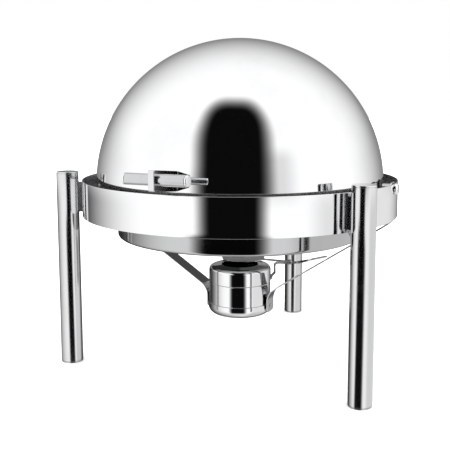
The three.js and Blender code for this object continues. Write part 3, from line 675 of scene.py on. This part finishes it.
burnerHandle = {"angle": 118.5, "sheet": 0.0015, "tab": 0.005, "standoff": 0.050, "levelTo": 0.084,
                "tipLift": 0.008, "rounds": {1: 0.002, 2: 0.002, 3: 0.003, 4: 0.020},
                "lidGap": 0.0003, "edge": 0.0003, "tipRadius": 0.0042}
handleRivet = {"shank": 0.0013, "head": 0.0022, "height": 0.001, "edge": 0.0009}
swingRivet = {"shank": 0.0020, "head": 0.0040, "height": 0.0015, "edge": 0.0012}
swingPivot = 0.0707      # from the burner's axis to the swing lid's rivet
angle = burnerHandle["angle"]
low, high = extent("burner_handle", angle)
half = burnerHandle["sheet"] / 2
foot = low.x + half
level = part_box("snuffer_lid")[0].z - burnerHandle["lidGap"] - half
tabTop = low.z + burnerHandle["tab"]
corners = [
    (foot, low.z), (foot, tabTop),
    (burnerHandle["standoff"], tabTop + burnerHandle["standoff"] - foot),
    (burnerHandle["standoff"], level), (burnerHandle["levelTo"], level),
    (high.x, level + burnerHandle["tipLift"])]
shape = strip(corners, burnerHandle["rounds"], high.y - low.y, burnerHandle["tipRadius"])
finishPiece(shape, "burnerHandle", "burner_cover", "rolledSteel", ["burner_handle"], outwards(angle),
            sheet=burnerHandle["sheet"], edge=burnerHandle["edge"])
low, high = extent("burner_handle_rivet", angle)
axis = outwards(angle, (low.z + high.z) / 2) @ alongX
rivet = headed(handleRivet["shank"], low.x, high.x - handleRivet["height"], handleRivet["head"],
               handleRivet["height"], handleRivet["edge"], 28)
finishPiece(rivet, "burnerHandleRivet", "burner_cover", "fastenerSteel", ["burner_handle_rivet"],
            axis)
low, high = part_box("snuffer_rivet")
centre = (low + high) / 2
shank, head, edge = swingRivet["shank"], swingRivet["head"], swingRivet["edge"]
lowerSeat, upperSeat = low.z + swingRivet["height"], high.z - swingRivet["height"]
rivet = turned(
    [(0, low.z), (head, low.z), (head, lowerSeat), (shank, lowerSeat), (shank, upperSeat),
     (head, upperSeat), (head, high.z), (0, high.z)], {1: edge, 6: edge}, 36, 5)
finishPiece(rivet, "snufferRivet", "burner_cover", "fastenerSteel", ["snuffer_rivet"],
            Matrix.Translation((centre.x, centre.y, 0)))

snuffer = {"radius": 0.031, "armWidth": 0.010, "armSlack": 0.0006, "openAngle": 28,
           "edge": 0.0003, "segments": 90}
low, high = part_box("snuffer_lid")
sheet = high.z - low.z


# A disc, with an arm drawn out of its edge to the rivet it swings on.
def makeSnuffer():
    shape = bmesh.new()
    steps = snuffer["segments"]
    bmesh.ops.create_circle(shape, cap_ends=True, segments=steps, radius=snuffer["radius"])
    bmesh.ops.rotate(shape, verts=shape.verts, cent=(0, 0, 0),
                     matrix=Matrix.Rotation(math.pi / steps, 3, "Z"))
    half = snuffer["armWidth"] / 2
    nearArm = [e for e in shape.edges
               if all(v.co.x > 0 and abs(v.co.y) < half + snuffer["armSlack"] for v in e.verts)]
    made = bmesh.ops.extrude_edge_only(shape, edges=nearArm)["geom"]
    tip = [part for part in made if isinstance(part, bmesh.types.BMVert)]
    for vertex in tip:
        across = max(-1.0, min(1.0, vertex.co.y / half))
        vertex.co.x = swingPivot + half * math.sqrt(1 - across ** 2)
    bmesh.ops.recalc_face_normals(shape, faces=shape.faces)
    return shape


swing = (outwards(angle) @ Matrix.Translation((swingPivot, 0, (low.z + high.z) / 2))
         @ Matrix.Rotation(-math.radians(snuffer["openAngle"]), 4, "Z")
         @ Matrix.Translation((-swingPivot, 0, 0)))
finishPiece(makeSnuffer(), "snufferLid", "snuffer", "brushedSheet", ["snuffer_lid"], swing,
            sheet=sheet, edge=snuffer["edge"])

print("finishes on the CAD nodes that stay")

keptNodes = {"leg_spacer": "satinSteel", "lid_bumper": "rubber"}
for name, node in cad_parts.items():
    for start, finish in keptNodes.items():
        if name.startswith(start):
            for slot in node.material_slots:
                slot.material = materials[finish]

print("floor, light and camera")

# Directions are degrees: turn goes right from the opening's side, rise goes up from level, and
# fromBack is the angle from straight behind. A pair is where a soft step starts and ends.
tent = {
    "centre": (0.0, 0.0, 0.22), "radius": 0.65, "brightness": 1.24, "darkest": 0.003, "facing": 22.8,
    "level": (-5, 1),                       # where the lower wall gives way to the upper wall
    "upper": {"dim": 0.20, "gain": 0.75, "fromBack": (38, 106), "lift": 7, "lifted": (10, 30)},
    "lowerLeft": {"dim": 0.03, "gain": 0.92, "fromBack": (50, 127)},
    "lowerRight": {"bright": 0.95, "drop": 0.25, "dropTurn": (34, 52), "fall": 0.60,
                   "fallTurn": (108, 150)},
    "sides": (-20, 20),                     # turn, from the lower wall's left part to its right
    "ground": {"dim": 0.72, "rise": (-62, -30)},
    "shoulder": {"turn": 22, "reach": (4, 20), "top": (20, 32), "depth": 0.30}}

# The dark opening in the tent: its middle and half width at the band, and what each further
# stretch of rise adds to them.
opening = {
    "middle": -4.4, "halfWidth": 17.9,
    "lid": {"rise": (-1.5, 1.0), "middle": 0.3, "halfWidth": 5.8},
    "higher": {"rise": (15, 40), "middle": -0.6, "halfWidth": 2.5},
    "highest": {"rise": (42, 56), "middle": -0.8, "halfWidth": 0.0},
    "below": {"rise": (-9.5, -7.5), "middle": -3.3, "halfWidth": 9.3},
    "archStart": 35, "archHeight": 25.6, "sidePower": 3, "archPower": 4, "edge": (0.3, 1.95),
    "foot": (-62, -38)}


# What the steel reflects: a white tent, greyer behind the object, with a tall dark opening in front.
def makeTent():
    shape = bmesh.new()
    bmesh.ops.create_uvsphere(shape, u_segments=96, v_segments=48, radius=tent["radius"])
    bmesh.ops.translate(shape, verts=shape.verts, vec=tent["centre"])
    mesh = bpy.data.meshes.new("lightTent")
    shape.to_mesh(mesh)
    shape.free()
    material = bpy.data.materials.new("tentLight")
    finish = Finish(material)
    place = finish.node("ShaderNodeTexCoord", {}, {}, output="Object")
    way = finish.vector("NORMALIZE", finish.vector("SUBTRACT", place, tent["centre"]))
    facing = math.radians(tent["facing"])
    forwards = finish.dot(way, (math.sin(facing), -math.cos(facing), 0))
    across = finish.dot(way, (math.cos(facing), math.sin(facing), 0))
    up = finish.dot(way, (0, 0, 1))
    degrees = 180 / math.pi
    turn = across.maths("ARCTAN2", across, forwards) * degrees
    rise = up.maths("ARCSINE", up) * degrees
    fromBack = forwards.maths("ARCCOSINE", -1 * forwards) * degrees
    light = tentWall(finish, turn, rise, fromBack) * (1 - tentOpening(finish, turn, rise))
    strength = (light + tent["darkest"]) * tent["brightness"]
    shader = finish.node("ShaderNodeEmission", {}, {"Color": (1, 1, 1, 1), "Strength": strength})
    finish.node("ShaderNodeOutputMaterial", {}, {"Surface": shader})
    mesh.materials.append(material)
    dome = bpy.data.objects.new("lightTent", mesh)
    bpy.context.scene.collection.objects.link(dome)
    dome.visible_camera = dome.visible_diffuse = dome.visible_shadow = False
    dome.visible_transmission = dome.visible_volume_scatter = False
    material.cycles.emission_sampling = "NONE"


def tentWall(finish, turn, rise, fromBack):
    above = finish.smooth(rise, *tent["level"])
    look = tent["upper"]
    lifted = fromBack + look["lift"] * finish.smooth(rise, *look["lifted"])
    upper = look["dim"] + look["gain"] * finish.smooth(lifted, *look["fromBack"])
    look = tent["lowerLeft"]
    lowerLeft = look["dim"] + look["gain"] * finish.smooth(fromBack, *look["fromBack"])
    look = tent["lowerRight"]
    lowerRight = (look["bright"] - look["drop"] * finish.smooth(turn, *look["dropTurn"])
                  - look["fall"] * finish.smooth(turn, *look["fallTurn"]))
    lower = lowerLeft + (lowerRight - lowerLeft) * finish.smooth(turn, *tent["sides"])
    look = tent["ground"]
    ground = look["dim"] + (1 - look["dim"]) * finish.smooth(rise, *look["rise"])
    look = tent["shoulder"]
    shoulder = ((1 - finish.smooth(abs(turn - look["turn"]), *look["reach"])) * above
                * (1 - finish.smooth(rise, *look["top"])))
    return (lower + (upper - lower) * above) * ground * (1 - look["depth"] * shoulder)


# 1 in the opening and 0 on the wall round it.
def tentOpening(finish, turn, rise):
    middle, halfWidth = opening["middle"], opening["halfWidth"]
    for stretch in ("lid", "higher", "highest", "below"):
        look = opening[stretch]
        share = finish.smooth(rise, *look["rise"])
        if stretch == "below":
            share = 1 - share
        middle = middle + look["middle"] * share
        halfWidth = halfWidth + look["halfWidth"] * share
    sideways = abs(turn - middle) / halfWidth
    climb = rise.maths("MAXIMUM", (rise - opening["archStart"]) / opening["archHeight"], 0)
    spread = sideways ** opening["sidePower"] + climb ** opening["archPower"]
    return finish.smooth(rise, *opening["foot"]) * (1 - finish.smooth(spread, *opening["edge"]))


makeTent()

floorLook = {"size": 12.0, "color": (0.93, 0.93, 0.93)}
shape = bmesh.new()
bmesh.ops.create_grid(shape, x_segments=2, y_segments=2, size=floorLook["size"])
mesh = bpy.data.meshes.new("floor")
shape.to_mesh(mesh)
shape.free()
material = bpy.data.materials.new("paleFloor")
finish = Finish(material)
shader = finish.node("ShaderNodeBsdfDiffuse", {}, {"Color": (*floorLook["color"], 1)})
finish.node("ShaderNodeOutputMaterial", {}, {"Surface": shader})
mesh.materials.append(material)
floor = bpy.data.objects.new("floor", mesh)
bpy.context.scene.collection.objects.link(floor)
floor.visible_glossy = False

roomLight = {"seen": 1.0, "given": 2.2}
world = bpy.data.worlds.new("room")
bpy.context.scene.world = world
finish = Finish(world)
seen = finish.node("ShaderNodeLightPath", {}, {}, output="Is Camera Ray")
strength = roomLight["given"] + (roomLight["seen"] - roomLight["given"]) * seen
sky = finish.node("ShaderNodeBackground", {}, {"Color": (1, 1, 1, 1), "Strength": strength})
finish.node("ShaderNodeOutputWorld", {}, {"Surface": sky})

camera = {"place": (0.4071, -0.9690, 0.3652), "looks": (-0.3844, 0.9149, -0.1238), "lens": 60.34,
          "sensor": 36, "shift": (-0.0332, -0.0740), "clip": (0.01, 100)}
cameraData = bpy.data.cameras.new("camera")
cameraData.lens, cameraData.sensor_width = camera["lens"], camera["sensor"]
cameraData.shift_x, cameraData.shift_y = camera["shift"]
cameraData.clip_start, cameraData.clip_end = camera["clip"]
cameraObject = bpy.data.objects.new("camera", cameraData)
cameraObject.location = camera["place"]
cameraObject.rotation_mode = "QUATERNION"
cameraObject.rotation_quaternion = Vector(camera["looks"]).to_track_quat("-Z", "Y")
bpy.context.scene.collection.objects.link(cameraObject)
bpy.context.scene.camera = cameraObject
bpy.context.scene.view_settings.view_transform = "Standard"
